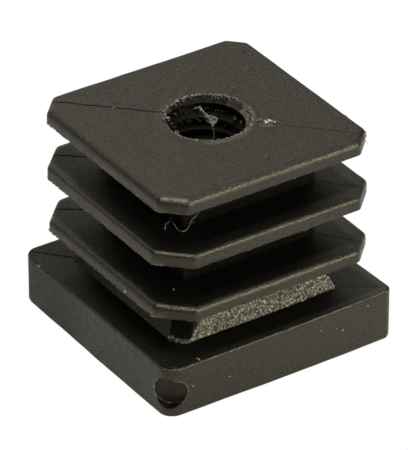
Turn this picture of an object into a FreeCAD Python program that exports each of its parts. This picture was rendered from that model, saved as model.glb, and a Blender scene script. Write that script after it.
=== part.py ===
"""Square end plug for a square steel tube, moulded in one shot of black plastic.

The plug stands on its flange with its fins up. The flange closes the end of the tube,
the three thin fins bend a little as they are pushed in and grip the tube's inside,
and a screw thread runs through the middle for the stem of an adjustable foot.

Sizes are in millimetres. +Z points up along the thread's axis, into the tube, and the
origin is at the middle of the flange's underside. The flange's front face is at -Y.
The mould parted on the vertical plane through the left and right corners (-X+Y and
+X-Y), so those corners differ a little from the front and back ones.
"""

import FreeCAD, Part
import os
from math import cos, radians, sin, sqrt
from FreeCAD import Vector

# Flange, which carries the tube's end on its rim
FLANGE_SIDE = 30.0
FLANGE_HEIGHT = 6.25
FLANGE_DISH = 0.2
FLANGE_CORNER_R = 1.7
FLANGE_FOOT_R = 0.6
FLANGE_RIM_R = 0.2

# Core, and the flared collar that joins it to the flange
CORE_SIDE = 17.4
COLLAR_FOOT_SIDE = 21.8
COLLAR_HEIGHT = 3.2
COLLAR_FRONT_CUT = 1.7
COLLAR_PARTING_CUT = 0.6

# Fins: the lower two are alike, and the top one is narrower, to lead into the tube
FIRST_GAP = 4.55
LOWER_GAP = 5.2
UPPER_GAP = 5.2
LOWER_FIN_SIDE = 28.0
LOWER_FIN_EDGE = 1.55
LOWER_FIN_CUT = 3.3
LOWER_FIN_CROWN = 0.3
TOP_FIN_SIDE = 27.1
TOP_FIN_EDGE = 1.7
TOP_FIN_CUT = 2.4
FIN_CORNER_R = 0.9
FIN_LIP_R = 0.6

# Thread: the hole is drawn at the thread's crests, with a 45 degree countersink at each mouth
THREAD_CREST_DIAMETER = 8.6
COUNTERSINK_DEPTH = 0.6

# Low rim that cutting the thread pushed up round the upper mouth
MOUTH_RIM_HEIGHT = 0.3
MOUTH_RIM_LAND = 0.25
MOUTH_RIM_SPREAD = 0.7

# Torn crater where the plastic ran into the mould, on the top fin beside the mouth
GATE_REACH = 6.7
GATE_TURN = -42.0
GATE_DIAMETER = 2.3
GATE_HEIGHT = 0.25
GATE_PIT_DIAMETER = 1.0

# Round pocket that the mould left in the flange's front corner
POCKET_DIAMETER = 3.8
POCKET_HEIGHT = 3.1
POCKET_DEPTH = 1.3

# Heights up the plug, each worked out from the gaps and the fins below it
LOW_FIN_Z = FLANGE_HEIGHT + FIRST_GAP
MIDDLE_FIN_Z = LOW_FIN_Z + LOWER_FIN_EDGE + LOWER_GAP
TOP_FIN_Z = MIDDLE_FIN_Z + LOWER_FIN_EDGE + UPPER_GAP
TOP_FACE_Z = TOP_FIN_Z + TOP_FIN_EDGE
TOTAL_HEIGHT = TOP_FACE_Z + MOUTH_RIM_HEIGHT

# How far apart two heights may be and still count as one
FINE = 1e-4


def cut_square(side, parting_cut, front_cut, height):
    """The corner points of a level square with its four corners cut off at 45 degrees.

    parting_cut is the leg of the cuts at the left and right corners, which lie on the
    mould's parting plane, and front_cut that of the cuts at the front and back ones.
    """
    half = side / 2
    return [
        Vector(-half, -half + front_cut, height),
        Vector(-half + front_cut, -half, height),
        Vector(half - parting_cut, -half, height),
        Vector(half, -half + parting_cut, height),
        Vector(half, half - front_cut, height),
        Vector(half - front_cut, half, height),
        Vector(-half + parting_cut, half, height),
        Vector(-half, half - parting_cut, height),
    ]


def flat_face(points):
    """A flat face bounded by straight lines through the given points."""
    return Part.Face(Part.makePolygon(points + points[:1]))


def tapered_block(low, high):
    """A solid with flat walls between two level outlines whose sides run parallel."""
    faces = [flat_face(low[::-1]), flat_face(high)]
    for i in range(len(low)):
        j = (i + 1) % len(low)
        faces.append(flat_face([low[i], low[j], high[j], high[i]]))
    return Part.Solid(Part.Shell(faces))


def upright_edges(solid):
    """The straight edges that stand upright."""
    return [e for e in solid.Edges if e.BoundBox.XLength + e.BoundBox.YLength < FINE]


def edges_at(solid, height):
    """The edges that run level at a height."""
    found = []
    for edge in solid.Edges:
        box = edge.BoundBox
        if abs(box.ZMin - height) < FINE and abs(box.ZMax - height) < FINE:
            found.append(edge)
    return found


def flange():
    """The square flange: round corners, a softened foot, and a top dished to the collar."""
    half = FLANGE_SIDE / 2
    block = Part.makeBox(FLANGE_SIDE, FLANGE_SIDE, FLANGE_HEIGHT, Vector(-half, -half, 0))
    block = block.makeFillet(FLANGE_CORNER_R, upright_edges(block))
    block = block.makeFillet(FLANGE_FOOT_R, edges_at(block, 0))
    block = block.makeFillet(FLANGE_RIM_R, edges_at(block, FLANGE_HEIGHT))
    rim_side = FLANGE_SIDE - 2 * FLANGE_CORNER_R
    rim = cut_square(rim_side, FLANGE_RIM_R, FLANGE_RIM_R, FLANGE_HEIGHT)
    floor = cut_square(
        COLLAR_FOOT_SIDE, COLLAR_PARTING_CUT, COLLAR_FRONT_CUT, FLANGE_HEIGHT - FLANGE_DISH
    )
    return block.cut(tapered_block(floor, rim))


def collar():
    """The collar, which flares from the core down to the flange, with cut corners."""
    sunk = FLANGE_HEIGHT - FLANGE_DISH
    foot = cut_square(COLLAR_FOOT_SIDE, COLLAR_PARTING_CUT, COLLAR_FRONT_CUT, sunk)
    top = cut_square(CORE_SIDE, COLLAR_PARTING_CUT, COLLAR_FRONT_CUT, sunk + COLLAR_HEIGHT)
    return tapered_block(foot, top)


def core():
    """The square core between the flange and the top fin, with sharp corners."""
    low = FLANGE_HEIGHT / 2
    start = Vector(-CORE_SIDE / 2, -CORE_SIDE / 2, low)
    return Part.makeBox(CORE_SIDE, CORE_SIDE, TOP_FIN_Z - low + TOP_FIN_EDGE / 2, start)


def fin(side, edge, cut, crown, under):
    """One thin square fin with cut corners and a rounded lip.

    Its underside is level at height under, its wall is edge high, and its upper face
    rises by crown from the wall to the core, as draft for the mould.
    """
    brim = under + edge
    slab = tapered_block(cut_square(side, cut, cut, under), cut_square(side, cut, cut, brim))
    slab = slab.makeFillet(FIN_CORNER_R, upright_edges(slab))
    slab = slab.makeFillet(FIN_LIP_R, edges_at(slab, brim))
    if crown > 0:
        level = cut_square(side - 2 * FIN_LIP_R, cut, cut, brim)
        slab = slab.fuse(tapered_block(level, cut_square(CORE_SIDE, cut, cut, brim + crown)))
    return slab


def mouth_rim():
    """The pushed-up rim round the upper mouth, with a sloping outside and a narrow land."""
    land_r = THREAD_CREST_DIAMETER / 2 + COUNTERSINK_DEPTH + MOUTH_RIM_LAND
    seat = Vector(0, 0, TOP_FACE_Z)
    return Part.makeCone(land_r + MOUTH_RIM_SPREAD, land_r, MOUTH_RIM_HEIGHT, seat)


def gate_place(height):
    """The point on the gate's own axis at a height."""
    turn = radians(GATE_TURN)
    return Vector(GATE_REACH * cos(turn), GATE_REACH * sin(turn), height)


def gate_mark():
    """The low lump that was left where the gate tore off, its sides sloping at 45 degrees."""
    radius = GATE_DIAMETER / 2
    low = gate_place(TOP_FACE_Z - GATE_HEIGHT)
    return Part.makeCone(radius + GATE_HEIGHT, radius - GATE_HEIGHT, 2 * GATE_HEIGHT, low)


def gate_pit():
    """The pointed pit in the middle of the gate's mark, down to the fin's top face."""
    return Part.makeCone(0, GATE_PIT_DIAMETER / 2, GATE_HEIGHT, gate_place(TOP_FACE_Z))


def threaded_hole():
    """The hole right through the plug, drawn at the thread's crests, with both mouths."""
    crest_r = THREAD_CREST_DIAMETER / 2
    mouth_r = crest_r + COUNTERSINK_DEPTH
    high_sink = Vector(0, 0, TOTAL_HEIGHT - COUNTERSINK_DEPTH)
    hole = Part.makeCylinder(crest_r, TOTAL_HEIGHT)
    low_mouth = Part.makeCone(mouth_r, crest_r, COUNTERSINK_DEPTH)
    high_mouth = Part.makeCone(crest_r, mouth_r, COUNTERSINK_DEPTH, high_sink)
    return hole.fuse([low_mouth, high_mouth])


def corner_pocket():
    """The flat-bottomed round pocket in the front corner, along the flange's diagonal."""
    corner_tip = FLANGE_SIDE / sqrt(2) - FLANGE_CORNER_R * (sqrt(2) - 1)
    outward = Vector(-1, -1, 0).normalize()
    floor_centre = outward * (corner_tip - POCKET_DEPTH) + Vector(0, 0, POCKET_HEIGHT)
    reach = POCKET_DEPTH + FLANGE_CORNER_R
    return Part.makeCylinder(POCKET_DIAMETER / 2, reach, floor_centre, outward)


def insert_body():
    """The whole plug as one solid."""
    low_fin = fin(LOWER_FIN_SIDE, LOWER_FIN_EDGE, LOWER_FIN_CUT, LOWER_FIN_CROWN, LOW_FIN_Z)
    middle_fin = fin(LOWER_FIN_SIDE, LOWER_FIN_EDGE, LOWER_FIN_CUT, LOWER_FIN_CROWN, MIDDLE_FIN_Z)
    top_fin = fin(TOP_FIN_SIDE, TOP_FIN_EDGE, TOP_FIN_CUT, 0, TOP_FIN_Z)
    body = flange().fuse([collar(), core(), low_fin, middle_fin, top_fin]).removeSplitter()
    body = body.fuse([mouth_rim(), gate_mark()])
    body = body.cut([threaded_hole(), corner_pocket(), gate_pit()])
    return body.Solids[0]


os.makedirs("parts", exist_ok=True)
plug = insert_body()
plug.exportStep("parts/insert_body.step")
print("height", round(plug.BoundBox.ZMax, 3), "volume", round(plug.Volume, 1), "valid", plug.isValid())
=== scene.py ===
"""Dresses the square tube end plug: its moulded body, its cut thread and its small scars.

Sizes are in millimetres, and are brought to metres when a mesh is made. Only the lamps, the
floor's span and the camera's clipping are in metres. +Z runs along the thread, up through the
fins, and the camera looks at the front corner, where the -X and -Y sides meet.
"""

import logging
import math
from dataclasses import dataclass, field
from enum import Enum
from typing import Any, Optional, Sequence, Union

import bmesh
import bpy
import numpy as np
from mathutils import Matrix, Vector, noise


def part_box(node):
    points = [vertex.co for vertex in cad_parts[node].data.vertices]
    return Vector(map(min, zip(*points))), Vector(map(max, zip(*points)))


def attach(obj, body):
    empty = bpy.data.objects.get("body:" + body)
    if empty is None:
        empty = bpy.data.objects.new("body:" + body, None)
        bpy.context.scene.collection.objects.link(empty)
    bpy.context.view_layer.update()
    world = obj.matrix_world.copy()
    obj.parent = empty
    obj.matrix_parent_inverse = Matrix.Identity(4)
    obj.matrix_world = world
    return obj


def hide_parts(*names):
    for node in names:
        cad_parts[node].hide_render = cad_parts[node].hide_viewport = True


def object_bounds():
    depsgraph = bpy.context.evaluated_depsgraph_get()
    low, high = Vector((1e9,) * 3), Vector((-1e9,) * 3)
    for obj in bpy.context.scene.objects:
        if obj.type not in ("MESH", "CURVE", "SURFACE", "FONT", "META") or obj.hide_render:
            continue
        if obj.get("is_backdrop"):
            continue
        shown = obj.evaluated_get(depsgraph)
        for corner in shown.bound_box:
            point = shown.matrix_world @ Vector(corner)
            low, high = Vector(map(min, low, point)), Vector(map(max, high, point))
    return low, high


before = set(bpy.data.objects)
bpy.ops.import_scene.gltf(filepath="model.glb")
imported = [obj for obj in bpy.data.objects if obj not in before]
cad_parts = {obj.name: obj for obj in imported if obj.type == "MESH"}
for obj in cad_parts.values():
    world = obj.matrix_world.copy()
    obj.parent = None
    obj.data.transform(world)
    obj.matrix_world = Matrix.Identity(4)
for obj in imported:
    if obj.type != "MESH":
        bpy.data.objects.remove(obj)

logging.basicConfig(level=logging.INFO, format="%(name)s: %(message)s")
LOG = logging.getLogger("plug")

MM = 0.001
DIAGONAL = math.sqrt(0.5)
BODY = "root"
NODE = "insert_body"
RIGHTWARD = (0.5, -0.866)
SOCKETS = {int: "NodeSocketInt", float: "NodeSocketFloat", tuple: "NodeSocketVector"}
Colour = tuple[float, float, float]
Point = tuple[float, float, float]
Four = tuple[float, ...]
Span = tuple[float, float]


class Hand(Enum):
    """The way a thread turns."""

    RIGHT = 1
    LEFT = -1


class Skin(Enum):
    """The body's finishes, in the order of its material slots."""

    MOULDED = 0
    DULL = 1
    PALE_CRESCENT = 2
    # The tapped finish also lies on the collar's front cut as painted shade.
    TAPPED_AND_SHADE = 3


class Corner(Enum):
    """The plug's four upright corners, in the order in which an outline passes them."""

    FRONT = 0
    RIGHT = 1
    BACK = 2
    LEFT = 3

    @property
    def start_angle(self) -> float:
        """The direction, in radians, that the side before this corner faces."""
        return math.pi + self.value * math.pi / 2


class Wire:
    """A node's socket that takes part in sums, so that a mask reads as an expression."""

    def __init__(self, graph: "Graph", socket: bpy.types.NodeSocket) -> None:
        """Holds an output socket of one of the graph's nodes."""
        self.graph = graph
        self.socket = socket

    def _sum(self, operation: str, *values: Any) -> "Wire":
        """Adds one Math node and returns its result."""
        settings = {"operation": operation}
        return self.graph.node("ShaderNodeMath", settings, dict(enumerate(values)))

    def __add__(self, other: Any) -> "Wire":
        """self + other."""
        return self._sum("ADD", self, other)

    __radd__ = __add__

    def __sub__(self, other: Any) -> "Wire":
        """self - other."""
        return self._sum("SUBTRACT", self, other)

    def __rsub__(self, other: Any) -> "Wire":
        """other - self."""
        return self._sum("SUBTRACT", other, self)

    def __mul__(self, other: Any) -> "Wire":
        """self * other."""
        return self._sum("MULTIPLY", self, other)

    __rmul__ = __mul__

    def __pow__(self, other: Any) -> "Wire":
        """self to a power."""
        return self._sum("POWER", self, other)

    def __abs__(self) -> "Wire":
        """The size of self without its sign."""
        return self._sum("ABSOLUTE", self)

    def ramp(self, low: float, high: float) -> "Wire":
        """A smooth step from 0 at low to 1 at high, or the other way where high is less."""
        values = {"Value": self, "From Min": low, "From Max": high}
        return self.graph.node("ShaderNodeMapRange", {"interpolation_type": "SMOOTHSTEP"}, values)


class Graph:
    """A node tree that is being written, by one method for every kind of node."""

    def __init__(self, tree: bpy.types.NodeTree) -> None:
        """Takes a material's, the world's or a piece's tree, and empties it."""
        self.tree = tree
        tree.nodes.clear()

    def node(
        self,
        kind: str,
        settings: Optional[dict[str, Any]] = None,
        values: Optional[dict[Any, Any]] = None,
        output: Union[int, str] = 0,
    ) -> Wire:
        """Adds a node.

        Args:
            kind: The node's type name.
            settings: Its own settings, such as an operation, set before its sockets.
            values: A number, a colour or a Wire for each input, by name or place.
            output: The output to return, by name or place.

        Returns:
            The chosen output, or the node's first.
        """
        made = self.tree.nodes.new(kind)
        for name, value in (settings or {}).items():
            setattr(made, name, value)
        for key, value in (values or {}).items():
            socket = made.inputs[key]
            if isinstance(value, Wire):
                self.tree.links.new(value.socket, socket)
            else:
                socket.default_value = value
        if not made.outputs:
            return Wire(self, None)
        return Wire(self, made.outputs[output])

    def mix(self, factor: Any, first: Any, second: Any) -> Wire:
        """Blends two colours.

        Args:
            factor: How much of the second shows, from 0 to 1.
            first: A colour, as three numbers or a Wire.
            second: The same.

        Returns:
            The blended colour.
        """
        made = self.tree.nodes.new("ShaderNodeMix")
        made.data_type = "RGBA"
        for place, value in ((0, factor), (6, first), (7, second)):
            socket = made.inputs[place]
            if isinstance(value, Wire):
                self.tree.links.new(value.socket, socket)
            elif place == 0:
                socket.default_value = value
            else:
                socket.default_value = (*value, 1.0)
        return Wire(self, made.outputs[2])

    def vector(self, operation: str, first: Any, second: Any) -> Wire:
        """Adds one Vector Math node.

        Args:
            operation: What it does.
            first: A vector, as three numbers or a Wire.
            second: The same, or a number to scale it by.

        Returns:
            The node's vector.
        """
        other = "Scale" if operation == "SCALE" else 1
        settings = {"operation": operation}
        return self.node("ShaderNodeVectorMath", settings, {0: first, other: second})

    def place(self) -> Wire:
        """The point of the surface, in millimetres of the plug's own frame."""
        return self.vector("SCALE", self.node("ShaderNodeTexCoord", output="Object"), 1 / MM)

    def bump(self, strength: float, depth: float, height: Wire) -> Wire:
        """A bump of some strength, whose depth is in millimetres."""
        values = {"Strength": strength, "Distance": depth * MM, "Height": height}
        return self.node("ShaderNodeBump", values=values)

    def parts(self, vector: Wire) -> tuple[Wire, Wire, Wire]:
        """The three numbers of a vector.

        Args:
            vector: A vector's Wire.

        Returns:
            Its X, Y and Z.
        """
        split = self.node("ShaderNodeSeparateXYZ", values={0: vector})
        outs = split.socket.node.outputs
        return Wire(self, outs[0]), Wire(self, outs[1]), Wire(self, outs[2])

    def grain(self, place: Wire, per_mm: float, detail: float = 2.0, rough: float = 0.5) -> Wire:
        """Cloudy noise from 0 to 1: blotches to a millimetre, finer layers and their strength."""
        values = {"Vector": place, "Scale": per_mm, "Detail": detail, "Roughness": rough}
        return self.node("ShaderNodeTexNoise", values=values)


@dataclass(frozen=True)
class Finish:
    """A plastic surface: what all the plug's finishes share."""

    name: str
    colour: Colour
    roughness: float
    tint: Colour = (1.0, 0.955, 0.70)
    gloss: float = 0.5

    def surface(self, graph: Graph, place: Wire) -> dict[str, Any]:
        """What varies over the surface, by shader socket; nothing does on a plain finish."""
        return {}

    def material(self) -> bpy.types.Material:
        """Makes the material.

        Returns:
            The finished material.
        """
        made = bpy.data.materials.new(self.name)
        made.use_nodes = True
        made.diffuse_color = (*self.colour, 1.0)
        graph = Graph(made.node_tree)
        place = graph.place()
        values: dict[str, Any] = {
            "Base Color": (*self.colour, 1.0),
            "Roughness": self.roughness,
            "IOR": 1.5,
            "Specular IOR Level": self.gloss,
            "Specular Tint": (*self.tint, 1.0),
        }
        values.update(self.surface(graph, place))
        shader = graph.node("ShaderNodeBsdfPrincipled", values=values)
        shader = self.over(graph, place, shader)
        graph.node("ShaderNodeOutputMaterial", values={"Surface": shader})
        return made

    def over(self, graph: Graph, place: Wire, shader: Wire) -> Wire:
        """The shader that shows; nothing lies over a plain finish."""
        return shader


@dataclass(frozen=True)
class MouldedPlastic(Finish):
    """The plug's own skin: black, satin, with a fine mould grain and a parting line.

    A span says where, in millimetres, a mask starts and where it is whole.
    """

    pale: Colour = (0.0011, 0.0010, 0.0008)
    speck: Colour = (0.014, 0.0135, 0.011)
    mottle: float = 0.48
    # The dark matte colour of the skin's mottling and of its painted shade.
    mottle_and_painted_shade: Colour = (0.0015, 0.0015, 0.0012)
    line_half_width: float = 0.15
    line_shift: float = 0.17
    top_line_shift: float = 0.29
    top_from: Span = (23.0, 23.5)
    line_breaks_per_mm: float = 3.0
    blotch_per_mm: float = 0.55
    skin_per_mm: float = 4.5
    skin_depth: float = 0.13
    wear: float = 0.13
    # Painted shade: where, and how strongly, a dark matte skin darkens the deep spaces between the fins.
    painted_shade_reach: float = 12.4
    painted_shade_edge: float = 0.6
    painted_shade_foot: Span = (7.0, 6.6)
    painted_shade_foot_reach: float = 1.9
    painted_shade_corner: Span = (12.0, 18.0)
    painted_shade_corner_reach: float = 0.9
    painted_shade_top: Span = (24.2, 23.8)
    painted_shade_left: float = 0.42
    painted_shade_left_x: Span = (-9.0, -11.0)
    painted_shade_left_y: Span = (0.0, 7.0)
    painted_shade_right: float = 0.64
    painted_shade_right_x: Span = (-11.0, -7.5)
    painted_shade_right_fade: Span = (6.0, 11.0)
    scrape: Colour = (0.040, 0.038, 0.032)
    scrape_ring: Span = (5.85, 5.25)
    scrape_right: Span = (0.5, 3.5)
    scrape_height: Span = (25.6, 25.95)
    # The paler colour of the fins' left-hand lower edges.
    pale_edge: Colour = (0.055, 0.052, 0.044)
    pale_edge_left: Span = (12.6, 13.3)
    pale_edge_below: Span = (-0.2, -0.1)
    pale_edge_above: Span = (0.75, 0.05)
    pale_edge_heights: tuple[float, ...] = (10.8, 17.55, 24.3)

    def _line(self, graph: Graph, place: Wire, sway: Wire) -> Wire:
        """The mask of the line that the mould left, painted dark as shade to the left and faint to the
        right.

        Args:
            graph: The material's graph.
            place: The point, in millimetres.
            sway: Noise, along which the line wanders.

        Returns:
            The mask.
        """
        x, y, z = graph.parts(place)
        higher = self.top_line_shift - self.line_shift
        shift = self.line_shift + z.ramp(*self.top_from) * higher
        across = abs((x + y) * DIAGONAL - shift + (sway - 0.5) * 0.3)
        line = across.ramp(self.line_half_width, self.line_half_width * 0.3)
        leftward = (y - x).ramp(-1.0, 1.0) * 0.7 + 0.3
        return line * leftward

    def _painted_shade(self, graph: Graph, place: Wire) -> Wire:
        """The mask of painted shade deep between the fins, mostly on the front-right side.

        Args:
            graph: The material's graph.
            place: The point, in millimetres.

        Returns:
            The mask.
        """
        x, y, z = graph.parts(place)
        foot = z.ramp(*self.painted_shade_foot) * self.painted_shade_foot_reach
        corner = (y - x).ramp(*self.painted_shade_corner) * self.painted_shade_corner_reach
        reach = foot + corner + self.painted_shade_reach
        edge = self.painted_shade_edge
        inward = (reach - abs(x)).ramp(0.0, edge) * (reach - abs(y)).ramp(0.0, edge)
        left = x.ramp(*self.painted_shade_left_x) * y.ramp(*self.painted_shade_left_y) * self.painted_shade_left
        fade = 1 - x.ramp(*self.painted_shade_right_fade) * 0.5
        right = x.ramp(*self.painted_shade_right_x) * fade * self.painted_shade_right
        return inward * z.ramp(*self.painted_shade_top) * (left + right)

    def _scrape(self, graph: Graph, place: Wire) -> Wire:
        """The mask of the band that the tap scraped on the face, to the right of the mouth.

        Args:
            graph: The material's graph.
            place: The point, in millimetres.

        Returns:
            The mask.
        """
        x, y, z = graph.parts(place)
        ring = ((x * x + y * y) ** 0.5).ramp(*self.scrape_ring)
        right = x * RIGHTWARD[0] + y * RIGHTWARD[1]
        return ring * right.ramp(*self.scrape_right) * z.ramp(*self.scrape_height)

    def _pale_edges(self, graph: Graph, place: Wire) -> Wire:
        """The mask of the left-hand lower edges of the fins, which are paler.

        Args:
            graph: The material's graph.
            place: The point, in millimetres.

        Returns:
            The mask.
        """
        x, _, z = graph.parts(place)
        above = [z - low for low in self.pale_edge_heights]
        edges = sum(up.ramp(*self.pale_edge_below) * up.ramp(*self.pale_edge_above) for up in above)
        patchy = graph.grain(place, self.skin_per_mm, 2.0, 0.6).ramp(0.2, 0.6) * 0.6 + 0.4
        return edges * (-1 * x).ramp(*self.pale_edge_left) * patchy

    def surface(self, graph: Graph, place: Wire) -> dict[str, Any]:
        """Blotches, grain, pores, lips rubbed smooth, and the line where the mould parted.

        Args:
            graph: The material's graph.
            place: The point, in millimetres.

        Returns:
            A value for each shader socket that varies.
        """
        blotch = graph.grain(place, self.blotch_per_mm, 3.0, 0.6)
        fine = graph.grain(place, self.skin_per_mm, 3.0, 0.65)
        pores = graph.grain(place, self.skin_per_mm * 2.6, 1.0, 0.5).ramp(0.62, 0.74)
        line = self._line(graph, place, blotch)
        cloud = blotch.ramp(0.3, 0.72) * 0.6 + fine.ramp(0.3, 0.75) * 0.4
        colour = graph.mix(cloud, self.colour, self.pale)
        colour = graph.mix(fine.ramp(0.62, 0.80), colour, self.speck)
        colour = graph.mix(self._scrape(graph, place), colour, self.scrape)
        colour = graph.mix(self._pale_edges(graph, place), colour, self.pale_edge)
        tilt = graph.parts(graph.node("ShaderNodeNewGeometry", output="Normal"))[2]
        glint = graph.grain(place, self.skin_per_mm * 1.5, 2.0, 0.7).ramp(0.35, 0.65)
        patchy = tilt.ramp(0.45, 0.62) * tilt.ramp(0.93, 0.80) * (glint * 1.6 + 0.2) * self.wear
        rough = self.roughness + (blotch - 0.5) * 0.10 + (fine - 0.5) * 0.2 + line * 0.3 - patchy
        bump = graph.bump(0.5, self.skin_depth, fine + pores * 0.25 + blotch * 0.6)
        return {"Base Color": colour, "Roughness": rough, "Normal": bump}

    def over(self, graph: Graph, place: Wire, shader: Wire) -> Wire:
        """The skin's dull mottling, and painted shade deep between the fins and in the parting line.

        Args:
            graph: The material's graph.
            place: The point, in millimetres.
            shader: The finish itself.

        Returns:
            The shader that shows.
        """
        blotch = graph.grain(place, self.blotch_per_mm, 3.0, 0.6)
        broken = graph.grain(place, self.line_breaks_per_mm, 2.0, 0.6).ramp(0.3, 0.55) * 0.4 + 0.6
        # A dark matte shader: the skin's mottling, and painted shade between the fins and in the parting
        # line's crevice.
        look = {"Color": (*self.mottle_and_painted_shade, 1.0), "Roughness": 1.0}
        mottle_and_painted_shade = graph.node("ShaderNodeBsdfDiffuse", values=look)
        fine = graph.grain(place, self.skin_per_mm * 1.2, 3.0, 0.7).ramp(0.40, 0.68)
        line = self._line(graph, place, blotch) * broken
        # Painted shade between the fins joins the random mottling here.
        mottle_and_shade = 1 - (1 - fine * self.mottle) * (1 - self._painted_shade(graph, place))
        share = line + (1 - line) * mottle_and_shade
        return graph.node("ShaderNodeMixShader", values={0: share, 1: shader, 2: mottle_and_painted_shade})


@dataclass(frozen=True)
class TornPlastic(Finish):
    """Torn or cut plastic, uneven and paler where it stretched; its pale is painted glints on the eroded
    face.
    """

    pale: Colour = (0.25, 0.24, 0.2)
    tear_per_mm: float = 4.0
    tear_depth: float = 0.12
    pale_from: float = 0.42
    pale_to: float = 0.70

    def surface(self, graph: Graph, place: Wire) -> dict[str, Any]:
        """Pale streaks over the black: stretched, whitened plastic, and painted glints on the eroded face.

        Args:
            graph: The material's graph.
            place: The point, in millimetres.

        Returns:
            A value for each shader socket that varies.
        """
        streak = graph.grain(place, self.tear_per_mm, 4.0, 0.7)
        whitened = streak.ramp(self.pale_from, self.pale_to)
        return {
            "Base Color": graph.mix(whitened, self.colour, self.pale),
            "Roughness": self.roughness + (streak - 0.5) * 0.3,
            "Normal": graph.bump(0.6, self.tear_depth, streak),
        }


@dataclass(frozen=True)
class Spread:
    """How many points an outline has, and where they stand.

    Every outline has the same count, in the same order, so that rings of them join.
    """

    arc_steps: int = 5
    side_steps: int = 76
    cut_shares: tuple[float, ...] = (
        0.1, 0.22, 0.34, 0.43, 0.475, 0.49, 0.5, 0.51, 0.525, 0.57, 0.66, 0.78, 0.9,
    )

    @property
    def count(self) -> int:
        """The number of points in a whole outline."""
        return 4 * (2 * (self.arc_steps + 1) + len(self.cut_shares) + self.side_steps - 1)


SPREAD = Spread()


def even(value: float) -> Four:
    """The same value for all four corners."""
    return (value, value, value, value)


@dataclass(frozen=True)
class Outline:
    """A level square with its corners cut off at 45 degrees and the cuts' ends rounded.

    The cuts and the radii are given for the front, right, back and left corners.
    """

    half: float
    cuts: Four
    radii: Four
    centre: Span = (0.0, 0.0)
    least_cut: float = 0.1
    least_r: float = 0.06

    def inset(self, by: float) -> "Outline":
        """The outline whose every side lies further in.

        Args:
            by: How far in.

        Returns:
            The smaller outline, with its corners cut and rounded to suit.
        """
        shrink = by * (2 - math.sqrt(2))
        cuts = tuple(max(cut - shrink, self.least_cut) for cut in self.cuts)
        radii = tuple(max(radius - by, self.least_r) for radius in self.radii)
        return Outline(self.half - by, cuts, radii, self.centre)

    def points(self) -> np.ndarray:
        """The outline's points, anticlockwise from the front corner.

        Returns:
            An array of X and Y.
        """
        rows = [self._corner(corner) for corner in Corner]
        shares = np.linspace(0, 1, SPREAD.side_steps + 1)[1:-1, None]
        joined: list[np.ndarray] = []
        for place, row in enumerate(rows):
            joined.append(row)
            after = rows[(place + 1) % len(rows)][0]
            joined.append(row[-1] * (1 - shares) + after * shares)
        return np.concatenate(joined) + np.array(self.centre)

    def drawn_in(self, by: np.ndarray) -> np.ndarray:
        """The outline's points, each moved in by its own amount.

        Args:
            by: How far in each point moves.

        Returns:
            An array of X and Y.
        """
        reach = float(np.max(by)) + 1e-6
        wide = self.points()
        return wide + (self.inset(reach).points() - wide) * (by / reach)[:, None]

    def _corner(self, corner: Corner) -> np.ndarray:
        """The points round one corner: an arc, the cut, and another arc.

        Args:
            corner: Which corner.

        Returns:
            An array of X and Y.
        """
        cut = self.cuts[corner.value]
        radius = self.radii[corner.value]
        angle = corner.start_angle
        out_in = np.array([math.cos(angle), math.sin(angle)])
        out_on = np.array([-out_in[1], out_in[0]])
        tip = self.half * (out_in + out_on)
        tangent = radius * math.tan(math.pi / 8)
        first = tip - out_on * (cut + tangent) - out_in * radius
        second = tip - out_in * (cut + tangent) - out_on * radius
        turn = np.linspace(0, math.pi / 4, SPREAD.arc_steps + 1)[:, None]
        swing = np.cos(turn) * out_in + np.sin(turn) * out_on
        arc_in = first + radius * swing
        swing = np.cos(turn + math.pi / 4) * out_in + np.sin(turn + math.pi / 4) * out_on
        arc_on = second + radius * swing
        shares = np.array(SPREAD.cut_shares)[:, None]
        flat = arc_in[-1] * (1 - shares) + arc_on[0] * shares
        return np.concatenate([arc_in, flat, arc_on])


RAYS = Outline(13.0, even(2.4), even(0.6)).points()
ANGLES = np.arctan2(RAYS[:, 1], RAYS[:, 0])


def circle(radius: Union[float, np.ndarray], centre: Sequence[float] = (0.0, 0.0)) -> np.ndarray:
    """A ring of one radius, or one for each point, on the same rays as a square outline's."""
    x, y = centre
    return np.column_stack([x + radius * np.cos(ANGLES), y + radius * np.sin(ANGLES)])


def bearing(points: np.ndarray) -> np.ndarray:
    """Each point's direction from the middle, in degrees from 0 to 360."""
    return np.degrees(np.arctan2(points[:, 1], points[:, 0])) % 360


def between(points: np.ndarray, first: float, last: float) -> np.ndarray:
    """The points whose direction from the middle lies between two angles, in degrees."""
    turned = bearing(points)
    return points[(turned > first) & (turned < last)]


def quarter(steps: int) -> list[float]:
    """The angles, in radians, of the equal steps of a quarter turn, without its start."""
    return [step / steps * math.pi / 2 for step in range(1, steps + 1)]


@dataclass
class Ring:
    """One closed row of the body's mesh."""

    flat: np.ndarray
    height: Union[float, np.ndarray]

    def solid(self) -> np.ndarray:
        """The row's points in space, as an array of X, Y and Z."""
        return np.column_stack([self.flat, np.broadcast_to(self.height, len(self.flat))])


def blend_rings(first: Ring, last: Ring, steps: int, ease: float = 1.0) -> list[Ring]:
    """Rings between two others, neither of which is repeated.

    Args:
        first: Where they start.
        last: Where they end.
        steps: The number of strips that they make.
        ease: Over 1 crowds them towards the first, and under 1 towards the last.

    Returns:
        The rings in between.
    """
    made = []
    for step in range(1, steps):
        share = (step / steps) ** ease
        flat = first.flat * (1 - share) + last.flat * share
        low = np.asarray(first.height, float)
        high = np.asarray(last.height, float)
        made.append(Ring(flat, low * (1 - share) + high * share))
    return made


def noise_at(points: np.ndarray, per_mm: float, seed: float) -> np.ndarray:
    """Smooth noise, from about -1 to 1, at each point; two seeds give two patterns."""
    shift = Vector((seed * 7.31, seed * -3.17, seed * 5.23))
    return np.array([noise.noise(Vector(p) * per_mm + shift) for p in points])


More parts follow.
